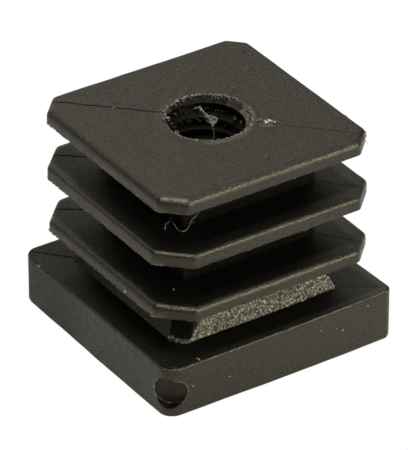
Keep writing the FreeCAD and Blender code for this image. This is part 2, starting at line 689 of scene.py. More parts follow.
def mesh_from(name: str, points: np.ndarray, faces: Sequence[Sequence[int]]) -> bpy.types.Mesh:
    """Makes a mesh in metres.

    Args:
        name: The mesh's name.
        points: Its vertices, in millimetres.
        faces: Its faces, as rows of vertex numbers.

    Returns:
        The mesh, with smooth faces.
    """
    mesh = bpy.data.meshes.new(name)
    mesh.from_pydata((points * MM).tolist(), [], faces)
    mesh.update()
    mesh.shade_smooth()
    return mesh


def tube_faces(rows: int, around: int, closed: bool = False) -> list[list[int]]:
    """The faces that join rings of points into one skin.

    Args:
        rows: The number of rings.
        around: The number of points in each.
        closed: Whether the last ring joins the first; otherwise both ends are capped.

    Returns:
        The faces, as rows of vertex numbers.
    """
    faces = []
    for row in range(rows if closed else rows - 1):
        here, there = row * around, (row + 1) % rows * around
        for step in range(around):
            after = (step + 1) % around
            faces.append([here + step, here + after, there + after, there + step])
    if not closed:
        faces.append(list(range(around))[::-1])
        faces.append([(rows - 1) * around + step for step in range(around)])
    return faces


def points_of(mesh: bpy.types.Mesh) -> np.ndarray:
    """Reads a mesh's vertices.

    Args:
        mesh: The mesh.

    Returns:
        An array of X, Y and Z, in metres.
    """
    flat = np.zeros(len(mesh.vertices) * 3)
    mesh.vertices.foreach_get("co", flat)
    return flat.reshape(-1, 3)


def move_points(mesh: bpy.types.Mesh, points: np.ndarray) -> None:
    """Moves a mesh's vertices to new places, in metres."""
    mesh.vertices.foreach_set("co", points.ravel())
    mesh.update()


def stand(name: str, mesh: bpy.types.Mesh, finish: Optional[bpy.types.Material]) -> bpy.types.Object:
    """Puts a mesh in the scene, at the origin.

    Args:
        name: The object's name.
        mesh: Its mesh.
        finish: Its material, unless the mesh has its own.

    Returns:
        The object.
    """
    made = bpy.data.objects.new(name, mesh)
    bpy.context.scene.collection.objects.link(made)
    if finish is not None:
        mesh.materials.clear()
        mesh.materials.append(finish)
    return made


def turn_outward(mesh: bpy.types.Mesh) -> None:
    """Turns a closed mesh's faces outward.

    Args:
        mesh: The mesh.
    """
    shape = bmesh.new()
    shape.from_mesh(mesh)
    bmesh.ops.recalc_face_normals(shape, faces=shape.faces)
    shape.to_mesh(mesh)
    shape.free()


def bake(piece: bpy.types.Object, sharp_from: float) -> bpy.types.Mesh:
    """Turns a piece and its modifiers into one plain mesh.

    Args:
        piece: The piece, which loses its modifiers.
        sharp_from: The angle, in degrees, from which an edge is sharp.

    Returns:
        The piece's new mesh.
    """
    bpy.context.view_layer.update()
    graph = bpy.context.evaluated_depsgraph_get()
    mesh = bpy.data.meshes.new_from_object(piece.evaluated_get(graph))
    piece.modifiers.clear()
    piece.data = mesh
    mesh.shade_smooth()
    mesh.set_sharp_from_angle(angle=math.radians(sharp_from))
    return mesh


def settle(piece: bpy.types.Object) -> bpy.types.Object:
    """Keeps a piece within the part's own box, makes it part of the plug, and reports it.

    Args:
        piece: A finished piece.

    Returns:
        The piece.
    """
    mesh = piece.data
    low, high = (np.array(list(corner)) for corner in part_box(NODE))
    move_points(mesh, np.clip(points_of(mesh), low, high - 1e-6))
    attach(piece, BODY)
    mesh.calc_loop_triangles()
    LOG.info("%s: %d triangles", piece.name, len(mesh.loop_triangles))
    return piece


@dataclass
class Flange:
    """The square flange at the foot, with its collar."""

    half: float = 14.95
    centre: Span = (0.05, -0.05)
    height: float = 6.25
    dish: float = 0.2
    radii: Four = (1.7, 0.85, 1.7, 1.7)
    foot_angles: tuple[float, ...] = (45, 130, 145, 180, 215, 228, 270, 300, 315, 330)
    foot_radii: tuple[float, ...] = (0.6, 0.75, 0.65, 0.4, 0.38, 0.45, 0.32, 0.5, 0.72, 0.6)
    right_rise: float = 0.42
    rim_r: float = 0.22
    collar_foot: float = 21.8
    collar_rise: float = 3.2
    collar_front_cut: float = 1.7
    collar_parting_cut: float = 0.6
    core_side: float = 17.4
    foot_steps: int = 6
    wall_steps: int = 12
    rim_steps: int = 4
    top_steps: int = 14

    def outline(self) -> Outline:
        """The flange's outline, its round corners written as cuts with round ends."""
        cuts = tuple(radius * (2 - math.sqrt(2)) + 0.06 for radius in self.radii)
        return Outline(self.half, cuts, self.radii, self.centre)

    def rings(self, mouth: np.ndarray) -> list[Ring]:
        """The rows from the lower mouth of the hole out, up the side and over the top.

        Args:
            mouth: The lower mouth's ring.

        Returns:
            The rings, up to the foot of the collar.
        """
        wide = self.outline()
        foot_r = np.interp(np.degrees(ANGLES), self.foot_angles, self.foot_radii, period=360)
        first = Ring(mouth, 0.0)
        last = Ring(wide.drawn_in(foot_r), 0.0)
        rows = [first, *blend_rings(first, last, self.wall_steps), last]
        for turn in quarter(self.foot_steps):
            flat = wide.drawn_in(foot_r * (1 - math.sin(turn)))
            rows.append(Ring(flat, foot_r * (1 - math.cos(turn))))
        top = Ring(wide.points(), self.height - self.rim_r)
        rows += blend_rings(rows[-1], top, self.wall_steps)
        rows.append(top)
        for turn in quarter(self.rim_steps):
            flat = wide.inset(self.rim_r * (1 - math.cos(turn))).points()
            rows.append(Ring(flat, self.height - self.rim_r * (1 - math.sin(turn))))
        sunk = self.height - self.dish
        foot = Ring(self._collar_outline(0.0).points(), sunk)
        rows += blend_rings(rows[-1], foot, self.top_steps)
        rows.append(foot)
        return [Ring(row.flat, row.height + self._rise(row)) for row in rows]

    def _rise(self, row: Ring) -> np.ndarray:
        """How far the right corner stands up, on the upper half of the flange's wall.

        Args:
            row: A row of the flange.

        Returns:
            The rise of each of its points.
        """
        out = (row.flat[:, 0] - row.flat[:, 1]) * DIAGONAL / (self.half * math.sqrt(2))
        share = np.clip(np.asarray(row.height, float) / self.height, 0, 1)
        return self.right_rise * np.clip(out, 0, 1) ** 3 * share

    def _collar_outline(self, share: float) -> Outline:
        """The collar's outline, part of the way up it.

        Args:
            share: How far up, from 0 to 1.

        Returns:
            The outline.
        """
        side = self.collar_foot + (self.core_side - self.collar_foot) * share
        room = max(side - self.core_side, 0.14)
        front = min(self.collar_front_cut, room)
        parting = min(self.collar_parting_cut, room)
        return Outline(side / 2, (front, parting, front, parting), even(0.12))

    def collar_rings(self) -> list[Ring]:
        """The rows up the sloping collar.

        Returns:
            The rings, ending on the core.
        """
        low = self.height - self.dish
        rows = []
        for step in range(1, self.top_steps + 1):
            share = step / self.top_steps
            rows.append(Ring(self._collar_outline(share).points(), low + self.collar_rise * share))
        return rows


@dataclass
class Fin:
    """One thin square fin, whose left corner may hang a little."""

    under: float
    side: float
    edge: float
    cuts: Four
    crown: float
    centre: Span = (0.0, 0.0)
    corner_r: float = 0.9
    lip_r: float = 0.6
    near_lip_r: float = 0.85
    heel_r: float = 0.1
    droop: float = 0.0
    droop_from: float = 12.0
    droop_over: float = 5.5
    heel_steps: int = 3
    lip_steps: int = 8

    def outline(self) -> Outline:
        """The fin's outline at its widest."""
        return Outline(self.side / 2, self.cuts, even(self.corner_r), self.centre)

    @property
    def brim(self) -> float:
        """The height of the lip's top."""
        return self.under + self.edge

    def _hang(self, flat: np.ndarray) -> np.ndarray:
        """How far each point of a row hangs down, towards the left corner."""
        out = (flat[:, 1] - flat[:, 0]) * DIAGONAL
        return self.droop * np.clip((out - self.droop_from) / self.droop_over, 0, 1) ** 2

    def rings(self, core: np.ndarray) -> list[Ring]:
        """The rows out along the underside, up the wall and over the lip.

        Args:
            core: The core's ring.

        Returns:
            The rings, ending at the inner edge of the lip.
        """
        wide = self.outline()
        root = Ring(core, self.under)
        heel = Ring(wide.inset(self.heel_r).points(), self.under)
        rows = [root, *blend_rings(root, heel, 9), heel]
        for turn in quarter(self.heel_steps):
            flat = wide.inset(self.heel_r * (1 - math.sin(turn))).points()
            rows.append(Ring(flat, self.under + self.heel_r * (1 - math.cos(turn))))
        near = np.clip((-RAYS[:, 0] - RAYS[:, 1]) / 6.0 + 0.5, 0, 1)
        lip = self.lip_r + (self.near_lip_r - self.lip_r) * near
        shoulder = Ring(wide.points(), self.brim - lip)
        rows += blend_rings(rows[-1], shoulder, 5)
        rows.append(shoulder)
        for turn in quarter(self.lip_steps):
            flat = wide.drawn_in(lip * (1 - math.cos(turn)))
            rows.append(Ring(flat, self.brim - lip * (1 - math.sin(turn))))
        return [Ring(row.flat, row.height - self._hang(row.flat)) for row in rows]

    def top_rings(self, lip: Ring, core: np.ndarray) -> list[Ring]:
        """The rows from the lip's inner ring in to the core's, which ends them."""
        inner = Ring(core, self.brim + self.crown)
        return [*blend_rings(lip, inner, 14, 1.25), inner]

    def lower_edge(self, first: float, last: float) -> np.ndarray:
        """The underside's edge between two directions.

        Args:
            first: Where it starts, in degrees from 0 to 360.
            last: Where it ends.

        Returns:
            An array of X, Y and Z.
        """
        flat = between(self.outline().points(), first, last)
        flat = flat[np.argsort(bearing(flat))]
        height = self.under + 0.04 - self._hang(flat)
        return np.column_stack([flat, height])


@dataclass
class Hole:
    """The hole for the foot's stem: both mouths and the wall between the thread's turns."""

    crest_r: float = 4.3
    root_r: float = 5.0
    mouth_r: float = 4.93
    mouth_centre: Span = (0.26, -0.08)
    bevel: float = 0.62
    rim_rise: float = 0.24
    rim_spread: float = 0.62
    rim_steps: int = 5
    apron_r: float = 7.4

    def edge(self) -> np.ndarray:
        """The distance of the mouth's ragged edge from its middle, on every ray."""
        return self.mouth_r + 0.09 * self._ragged(2.6, 1.0) + 0.07 * self._ragged(8.0, 2.0)

    def lift(self) -> np.ndarray:
        """The height of the pushed-up rim on every ray, most at the far side."""
        lift = self.rim_rise * (0.55 + 0.6 * self._ragged(1.8, 3.0) + 0.35 * self._ragged(9.0, 4.0))
        return np.clip(lift * (0.6 + 0.4 * np.cos(ANGLES - math.radians(60))), 0.01, 0.28)

    def top_rings(self, lip: Ring, face: float) -> list[Ring]:
        """The rows from the top fin's lip to the mouth and down to the wall.

        Args:
            lip: The lip's inner ring.
            face: The height of the fin's top face.

        Returns:
            The rings, ending on the hole's wall.
        """
        apron = Ring(circle(self.apron_r), face)
        rows = [*blend_rings(lip, apron, 16, 0.9), apron]
        ragged, lift = self.edge(), self.lift()
        foot = Ring(circle(ragged + self.rim_spread, self.mouth_centre), face)
        rows += [*blend_rings(apron, foot, 5), foot]
        for step in range(1, self.rim_steps + 1):
            share = step / self.rim_steps
            flat = circle(ragged + self.rim_spread * (1 - share) + 0.1, self.mouth_centre)
            rows.append(Ring(flat, face + lift * share ** 1.5))
        rows.append(Ring(circle(ragged, self.mouth_centre), face + lift * 0.9))
        low = Ring(circle(self.crest_r + 0.12), face - self.bevel)
        start = Ring(circle(ragged - 0.08, self.mouth_centre), face + lift * 0.5)
        rows += [start, *blend_rings(start, low, 6), low]
        rows.append(Ring(circle(self.crest_r + 0.18), face - self.bevel - 0.15))
        rows.append(Ring(circle(self.root_r), face - self.bevel - 0.5))
        return rows

    def _ragged(self, around: float, seed: float) -> np.ndarray:
        """Noise round the mouth, with about that many lumps to a radian."""
        ring = np.column_stack([np.cos(ANGLES), np.sin(ANGLES), np.zeros(len(ANGLES))])
        return noise_at(ring, around, seed)

    def low_rings(self) -> list[Ring]:
        """The rows from the wall to the lower mouth, which the first row of all closes."""
        wall = Ring(circle(self.root_r), self.bevel + 0.5)
        return [wall, Ring(circle(self.crest_r + 0.12), self.bevel)]

    def low_mouth(self) -> np.ndarray:
        """The lower mouth's ring, in the underside."""
        return circle(self.crest_r + self.bevel)


@dataclass
class Plug:
    """The moulded body in one closed mesh, from its flange to its top fin."""

    flange: Flange = field(default_factory=Flange)
    hole: Hole = field(default_factory=Hole)
    fins: tuple[Fin, ...] = (
        Fin(10.8, 27.9, 1.55, (3.3, 2.9, 3.3, 3.2), 0.3, centre=(0.12, 0.03), droop=0.1, near_lip_r=0.78),
        Fin(17.6, 27.96, 1.66, (3.3, 2.9, 3.3, 3.25), 0.19, centre=(0.02, 0.0), near_lip_r=0.55),
        Fin(24.3, 27.06, 1.75, (2.4, 2.2, 1.9, 2.2), 0.0, centre=(-0.02, 0.0), lip_r=0.65, near_lip_r=0.95),
    )
    pocket_r: float = 1.9
    pocket_height: float = 3.1
    pocket_depth: float = 1.3
    sway: float = 0.035
    ripple: float = 0.012
    step_height: float = 0.015
    step_half_width: float = 0.09
    step_shift: float = 0.17
    top_step_shift: float = 0.29
    step_from: float = 9.0
    top_step_from: float = 23.0
    step_fade: float = 1.8
    step_right_share: float = 0.35
    slide_fade: float = 0.8
    skin_from: float = 5.2
    skin_over: float = 0.8
    shrink: float = 0.02
    sway_per_mm: float = 0.22
    ripple_per_mm: float = 0.9
    pocket_steps: int = 64
    pocket_rows: tuple[Span, ...] = ((0.0, 0.88), (0.0, 0.94), (0.12, 1.0), (0.5, 1.0), (3.2, 1.0))
    pale_crescent_turn: Span = (-1.95, 0.0)
    dull_turn: Span = (0.0, 0.45)
    pale_crescent_depth: float = 0.62
    bevel_r: float = 4.87
    bevel_depth: float = 0.75
    pocket_from: float = 18.0
    pocket_lip: Span = (0.28, 0.45)
    # Where the collar's front cut takes the tapped finish as painted shade.
    collar_shade_height: Span = (6.12, 9.4)
    collar_shade_left: float = -1.75
    collar_shade_right: Point = (1.65, 0.378, 6.05)
    collar_shade_out: Span = (16.0 * DIAGONAL, 14.6)

    @property
    def face(self) -> float:
        """The height of the top fin's upper face."""
        return self.fins[-1].brim

    @property
    def corner_tip(self) -> float:
        """How far out along its diagonal the flange's rounded front corner reaches."""
        root = math.sqrt(2)
        return self.flange.half * root - self.flange.radii[0] * (root - 1)

    def _core(self) -> np.ndarray:
        """The core's ring."""
        return Outline(self.flange.core_side / 2, even(0.14), even(0.12)).points()

    def rings(self) -> list[Ring]:
        """Every row of the body, from the lower mouth round to the lower mouth.

        Returns:
            The rings, the last of which joins the first.
        """
        core = self._core()
        rows = self.flange.rings(self.hole.low_mouth())
        rows += self.flange.collar_rings()
        for fin in self.fins:
            rows += blend_rings(rows[-1], Ring(core, fin.under), 3)
            rows += fin.rings(core)
            if fin is self.fins[-1]:
                rows += self.hole.top_rings(rows[-1], fin.brim)
            else:
                rows += fin.top_rings(rows[-1], core)
        rows += self.hole.low_rings()
        return rows

    def mesh(self) -> bpy.types.Mesh:
        """The body's mesh, with its slight unevenness but without the pocket.

        Returns:
            The mesh.
        """
        rows = self.rings()
        points = np.concatenate([ring.solid() for ring in rows])
        mesh = mesh_from(NODE, points, tube_faces(len(rows), SPREAD.count, True))
        self._weather(mesh)
        return mesh

    def _weather(self, mesh: bpy.types.Mesh) -> None:
        """Gives the flat walls the sway, the ripple and the parting step of a real moulding.

        Args:
            mesh: The body's mesh, whose vertices move.
        """
        start = points_of(mesh)
        points = start / MM
        turned = np.zeros(points.size)
        mesh.vertex_normals.foreach_get("vector", turned)
        normals = turned.reshape(-1, 3)
        radius = np.hypot(points[:, 0], points[:, 1])
        outside = np.clip((radius - self.skin_from) / self.skin_over, 0, 1)
        low = noise_at(points, self.sway_per_mm, 1.0) * self.sway
        mid = noise_at(points, self.ripple_per_mm, 2.0) * self.ripple
        shift = np.where(points[:, 2] > self.top_step_from, self.top_step_shift, self.step_shift)
        above = (points[:, 2] > self.step_from) * outside
        along = (points[:, 0] + points[:, 1]) * DIAGONAL
        slide = shift * np.exp(-((along / self.slide_fade) ** 2)) * above * DIAGONAL
        points = points + np.column_stack([slide, slide, np.zeros(len(points))])
        along = (points[:, 0] + points[:, 1]) * DIAGONAL - shift
        upward = np.clip(normals[:, 2], 0, 1) * above
        leftward = np.where(points[:, 1] > points[:, 0], 1.0, self.step_right_share)
        fades = np.exp(-((along / self.step_fade) ** 2))
        raised = self.step_height * 0.5 * (1 + np.tanh(along / self.step_half_width))
        step = raised * fades * upward * leftward
        move = (low + mid) * outside - self.shrink * outside + step * outside
        points = points + normals * move[:, None]
        points[:, 2] = np.clip(points[:, 2], 0, None)
        points[np.abs(start[:, 2]) < 1e-9, 2] = 0.0
        move_points(mesh, points * MM)

    def _pocket_cutter(self) -> bpy.types.Object:
        """A round plug of air along the diagonal of the front corner.

        Returns:
            The cutter.
        """
        outward = Vector((-1, -1, 0)).normalized()
        around = Vector((1, -1, 0)).normalized()
        inward_by = self.corner_tip - self.pocket_depth
        floor_at = outward * inward_by + Vector((0, 0, self.pocket_height))
        points = []
        for depth, share in self.pocket_rows:
            for step in range(self.pocket_steps):
                turn = step / self.pocket_steps * 2 * math.pi
                swell = 1 + 0.02 * math.sin(3 * turn + 1) + 0.012 * math.sin(7 * turn)
                radius = self.pocket_r * share * swell
                side = around * math.cos(turn) * radius
                rise = Vector((0, 0, math.sin(turn) * radius))
                points.append(list(floor_at + outward * depth + side + rise))
        faces = tube_faces(len(self.pocket_rows), self.pocket_steps)
        mesh = mesh_from("pocket_cutter", np.array(points), faces)
        turn_outward(mesh)
        return stand("pocket_cutter", mesh, None)

    def _skin_at(self, x: float, y: float, z: float) -> Skin:
        """Finds the finish: the pocket, the collar's front cut, painted as shade, and the mouth's bevel
        differ.

        Args:
            x: The middle of a face of the body, in millimetres.
            y: The same, along Y.
            z: The same, along Z.

        Returns:
            The face's finish.
        """
        out = -(x + y) * DIAGONAL
        side = (x - y) * DIAGONAL
        reach = math.hypot(side, z - self.pocket_height)
        sunk = self.corner_tip - out > self.pocket_lip[0] + abs(side) * self.pocket_lip[1]
        pocket = out > self.pocket_from and reach < self.pocket_r * 0.99 and sunk
        centre = self.hole.mouth_centre
        inside = math.hypot(x - centre[0], y - centre[1]) < self.bevel_r
        bevel = inside and self.face - self.bevel_depth < z
        turned = math.atan2(y, x)
        if pocket or (bevel and self.dull_turn[0] <= turned < self.dull_turn[1]):
            return Skin.DULL
        # Painted shade: the collar's front cut takes the dark, nearly glossless tapped finish where it lies
        # in shade.
        foot, lean, start = self.collar_shade_right
        low, high = self.collar_shade_height
        near, far = self.collar_shade_out
        across = self.collar_shade_left < x - y < foot + lean * (z - start)
        if low < z < high and across and near < out < far:
            return Skin.TAPPED_AND_SHADE
        if not bevel:
            return Skin.MOULDED
        # A crescent of the bevel, to the right, takes a paler finish.
        crescent = self.pale_crescent_turn[0] < turned < self.pale_crescent_turn[1]
        return Skin.PALE_CRESCENT if crescent and z > self.face - self.pale_crescent_depth else Skin.TAPPED_AND_SHADE

    def pocket_rim(self, first: float, last: float) -> tuple[Point, ...]:
        """Points along the pocket's edge on the flange's walls.

        Args:
            first: Where it starts, in degrees from the right.
            last: Where it ends.

        Returns:
            The points.
        """
        made = []
        for turn in np.radians(np.linspace(first, last, 9)):
            side = self.pocket_r * math.cos(turn)
            out = self.flange.half * math.sqrt(2) - max(abs(side), 0.35 + abs(side) * 0.5)
            x = (-out + side) * DIAGONAL + self.flange.centre[0]
            y = (-out - side) * DIAGONAL + self.flange.centre[1]
            made.append((x, y, self.pocket_height + self.pocket_r * math.sin(turn)))
        return tuple(made)

    def build(self, finishes: dict[Skin, bpy.types.Material]) -> bpy.types.Object:
        """Makes the body, cuts its pocket and lets it stand for the CAD node.

        Args:
            finishes: The material of each of its finishes.

        Returns:
            The body.
        """
        body = stand("plug_body", self.mesh(), finishes[Skin.MOULDED])
        cutter = self._pocket_cutter()
        cut = body.modifiers.new("pocket", "BOOLEAN")
        cut.operation = "DIFFERENCE"
        cut.solver = "EXACT"
        cut.object = cutter
        mesh = bake(body, 38.0)
        bpy.data.objects.remove(cutter)
        mesh.materials.clear()
        for skin in Skin:
            mesh.materials.append(finishes[skin])
        for face in mesh.polygons:
            face.material_index = self._skin_at(*(value / MM for value in face.center)).value
        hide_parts(NODE)
        return settle(body)


class Tree(Graph):
    """A Geometry Nodes tree that is written in the script and then turned into a mesh."""

    def __init__(self, name: str, inputs: dict[str, Any]) -> None:
        """Makes the tree with its named inputs.

        Args:
            name: The name of the tree and of the piece that it makes.
            inputs: A whole number, a number or a vector for each input.
        """
        super().__init__(bpy.data.node_groups.new(name, "GeometryNodeTree"))
        self.name = name
        self.values: dict[str, Any] = {}
        face = self.tree.interface
        face.new_socket("Geometry", in_out="INPUT", socket_type="NodeSocketGeometry")
        face.new_socket("Geometry", in_out="OUTPUT", socket_type="NodeSocketGeometry")
        for label, value in inputs.items():
            made = face.new_socket(label, in_out="INPUT", socket_type=SOCKETS[type(value)])
            self.values[made.identifier] = value
        self.start = self.tree.nodes.new("NodeGroupInput")

    def given(self, label: str) -> Wire:
        """The named input."""
        return Wire(self, self.start.outputs[label])

    def drawn(self, low: float, high: float) -> Wire:
        """A random vector for each point, every part of it between two numbers."""
        values = {"Min": (low,) * 3, "Max": (high,) * 3, "Seed": self.given("Seed")}
        return self.node("FunctionNodeRandomValue", {"data_type": "FLOAT_VECTOR"}, values)

    def moved(self, geometry: Wire, offset: Wire) -> Wire:
        """Moves geometry's points by an offset."""
        values = {"Geometry": geometry, "Offset": offset}
        return self.node("GeometryNodeSetPosition", values=values)

    def grow(
        self, geometry: Wire, finish: bpy.types.Material, start: Optional[bpy.types.Mesh] = None
    ) -> bpy.types.Object:
        """Ends the tree with real geometry in one material, and keeps it as a plain mesh.

        Args:
            geometry: What the tree made.
            finish: The material that it takes.
            start: The mesh that the tree begins with, where it needs one.

        Returns:
            The piece.
        """
        real = self.node("GeometryNodeRealizeInstances", values={0: geometry})
        values = {"Geometry": real, "Material": finish}
        dressed = self.node("GeometryNodeSetMaterial", values=values)
        self.node("NodeGroupOutput", values={0: dressed})
        piece = stand(self.name, start or bpy.data.meshes.new(self.name), None)
        run = piece.modifiers.new(self.name, "NODES")
        run.node_group = self.tree
        for identifier, value in self.values.items():
            run[identifier] = value
        mesh = bake(piece, 42.0)
        if not mesh.materials:
            mesh.materials.append(finish)
        return piece


@dataclass
class Thread:
    """The turns of the screw thread, swept along a helix on the hole's wall."""

    crest_r: float = 4.3
    root_r: float = 5.0
    pitch: float = 1.5
    bottom: float = 0.825
    top: float = 24.5
    crest_land: float = 0.2
    sunk: float = 0.12
    root_land: float = 1.2
    steps: int = 60
    hand: Hand = Hand.RIGHT

    def build(self, finish: bpy.types.Material) -> bpy.types.Object:
        """Sweeps the ridge.

        Args:
            finish: The black plastic that the tap cut.

        Returns:
            The thread's turns.
        """
        rise = self.top - self.bottom
        tree = Tree(
            "thread_turns",
            {
                "Pitch Radius": self.root_r * MM,
                "Turns": rise / self.pitch,
                "Rise": rise * MM,
                "Start Height": self.bottom * MM,
            },
        )
        radius = tree.given("Pitch Radius")
        helix = tree.node(
            "GeometryNodeCurveSpiral",
            values={
                "Resolution": self.steps,
                "Rotations": tree.given("Turns"),
                "Start Radius": radius,
                "End Radius": radius,
                "Height": tree.given("Rise"),
                "Reverse": self.hand is Hand.RIGHT,
            },
        )
        lift = tree.node("ShaderNodeCombineXYZ", values={"Z": tree.given("Start Height")})
        helix = tree.moved(helix, lift)
        helix = tree.node("GeometryNodeSetCurveNormal", {"mode": "Z_UP"}, {"Curve": helix})
        inward = -self.hand.value * MM
        deep = (self.root_r - self.crest_r) * inward
        corners = (
            (-self.sunk * inward, -self.root_land / 2 * MM, 0),
            (deep, -self.crest_land / 2 * MM, 0),
            (deep, self.crest_land / 2 * MM, 0),
            (-self.sunk * inward, self.root_land / 2 * MM, 0),
        )
        profile = tree.node(
            "GeometryNodeCurvePrimitiveQuadrilateral",
            {"mode": "POINTS"},
            {f"Point {place + 1}": corner for place, corner in enumerate(corners)},
        )
        values = {"Curve": helix, "Profile Curve": profile, "Fill Caps": True}
        made = tree.grow(tree.node("GeometryNodeCurveToMesh", values=values), finish)
        turn_outward(made.data)
        return settle(made)


@dataclass(frozen=True)
class SoftBox:
    """A soft lamp: its name, its size and distance in metres, where it hangs, and its power.

    The azimuth is counted from +X towards +Y, and the elevation up from the floor.
    """

    name: str
    width: float
    height: float
    azimuth: float
    elevation: float
    watts: float
    distance: float = 0.5


BOXES = (
    SoftBox("overhead", 0.24, 0.24, 100.0, 84.0, 1.0),
    SoftBox("front_box", 0.24, 0.24, 225.0, 76.0, 2.15),
    SoftBox("right_box", 0.30, 0.12, -60.0, 23.0, 2.15),
    SoftBox("right_soft_box", 0.24, 0.20, -42.0, 44.0, 0.35),
    SoftBox("left_box", 0.20, 0.14, 207.0, 46.0, 0.5),
)


@dataclass
class Crumbs:
    """Small torn lumps, along a line or at given points."""

    name: str
    path: Union[np.ndarray, Sequence[Point]]
    smallest: float = 0.05
    largest: float = 0.15
    count: int = 0
    scatter: Point = (0.1, 0.1, 0.05)
    closed: bool = False
    stretch: Point = (1.5, 0.9, 0.7)
    ragged: float = 0.1
    roundness: int = 2
    rough_per_mm: float = 9.0
    seed: int = 11

    def _seed_mesh(self) -> bpy.types.Mesh:
        """The line or the points that the tree starts from.

        Returns:
            A mesh without faces.
        """
        last = len(self.path)
        edges = [(place, place + 1) for place in range(last - 1)] if self.count else []
        if self.closed:
            edges.append((last - 1, 0))
        mesh = bpy.data.meshes.new(self.name)
        mesh.from_pydata((np.array(self.path) * MM).tolist(), edges, [])
        return mesh

    def build(self, finish: bpy.types.Material) -> bpy.types.Object:
        """Sets the lumps out and roughens them.

        Args:
            finish: The plastic that they are of.

        Returns:
            The lumps, as one piece.
        """
        tree = Tree(
            self.name,
            {
                "Lumps": max(self.count, 1),
                "Smallest": self.smallest * MM,
                "Largest": self.largest * MM,
                "Spread": tuple(side * MM for side in self.scatter),
                "Seed": self.seed,
            },
        )
        places = tree.given("Geometry")
        if self.count:
            line = tree.node("GeometryNodeMeshToCurve", values={0: places})
            values = {"Curve": line, "Count": tree.given("Lumps")}
            places = tree.node("GeometryNodeResampleCurve", values=values)
        shift = tree.vector("MULTIPLY", tree.drawn(-1.0, 1.0), tree.given("Spread"))
        values = {"Radius": 1.0, "Subdivisions": self.roundness}
        lump = tree.node("GeometryNodeMeshIcoSphere", values=values)
        values = {"Seed": tree.given("Seed")}
        share = tree.node("FunctionNodeRandomValue", {"data_type": "FLOAT"}, values, 1) ** 2.2
        smallest = tree.given("Smallest")
        size = share * (tree.given("Largest") - smallest) + smallest
        values = {
            "Points": tree.moved(places, shift),
            "Instance": lump,
            "Rotation": tree.drawn(0.0, 6.28),
            "Scale": tree.vector("SCALE", self.stretch, size),
        }
        placed = tree.node("GeometryNodeInstanceOnPoints", values=values)
        real = tree.node("GeometryNodeRealizeInstances", values={0: placed})
        values = {"Scale": self.rough_per_mm / MM, "Detail": 1.0}
        rough = tree.node("ShaderNodeTexNoise", values=values, output="Color")
        centred = tree.vector("SUBTRACT", rough, (0.5, 0.5, 0.5))
        jagged = tree.moved(real, tree.vector("SCALE", centred, self.ragged * MM))
        return settle(tree.grow(jagged, finish, self._seed_mesh()))


@dataclass
class Shaving:
    """A thin strip of plastic that the tap or the mould left hanging."""

    name: str
    path: tuple[Point, ...]
    radii: tuple[float, ...]
    flatness: float = 0.6
    wobble: float = 0.25
    around: int = 10
    steps: int = 12
    seed: float = 1.0

    def _smooth(self) -> tuple[np.ndarray, np.ndarray]:
        """Adds points to the middle line, along a smooth curve.

        Returns:
            The points, and the strip's radius at each.
        """
        knots = np.array(self.path)
        padded = np.concatenate([knots[:1] * 2 - knots[1:2], knots, knots[-1:] * 2 - knots[-2:-1]])
        points = []
        radii = []
        for place in range(len(knots) - 1):
            before, here, there, after = padded[place:place + 4]
            for step in range(self.steps):
                share = step / self.steps
                turn = (there - before) * share
                bend = (2 * before - 5 * here + 4 * there - after) * share ** 2
                twist = (3 * here - before - 3 * there + after) * share ** 3
                points.append(0.5 * (2 * here + turn + bend + twist))
                radii.append(self.radii[place] * (1 - share) + self.radii[place + 1] * share)
        points.append(knots[-1])
        radii.append(self.radii[-1])
        return np.array(points), np.array(radii)

    def build(self, finish: bpy.types.Material) -> bpy.types.Object:
        """Sweeps a ragged flattened ring along the line and closes its ends.

        Args:
            finish: The plastic that it is of.

        Returns:
            The shaving.
        """
        middle, radii = self._smooth()
        count = len(middle)
        forward = np.gradient(middle, axis=0)
        forward /= np.linalg.norm(forward, axis=1)[:, None]
        across = np.cross(forward, np.array([0.13, 0.21, 0.97]))
        across /= np.linalg.norm(across, axis=1)[:, None]
        rise = np.cross(across, forward)
        turn = np.arange(self.around) / self.around * 2 * math.pi
        rows = []
        for place in range(count):
            ring = (
                np.cos(turn)[:, None] * across[place]
                + np.sin(turn)[:, None] * rise[place] * self.flatness
            )
            rows.append(middle[place] + ring * radii[place])
        points = np.concatenate(rows)
        outward = points - np.repeat(middle, self.around, axis=0)
        points = points + outward * noise_at(points, 5.0, self.seed)[:, None] * self.wobble * 2
        mesh = mesh_from(self.name, points, tube_faces(count, self.around))
        turn_outward(mesh)
        return settle(stand(self.name, mesh, finish))


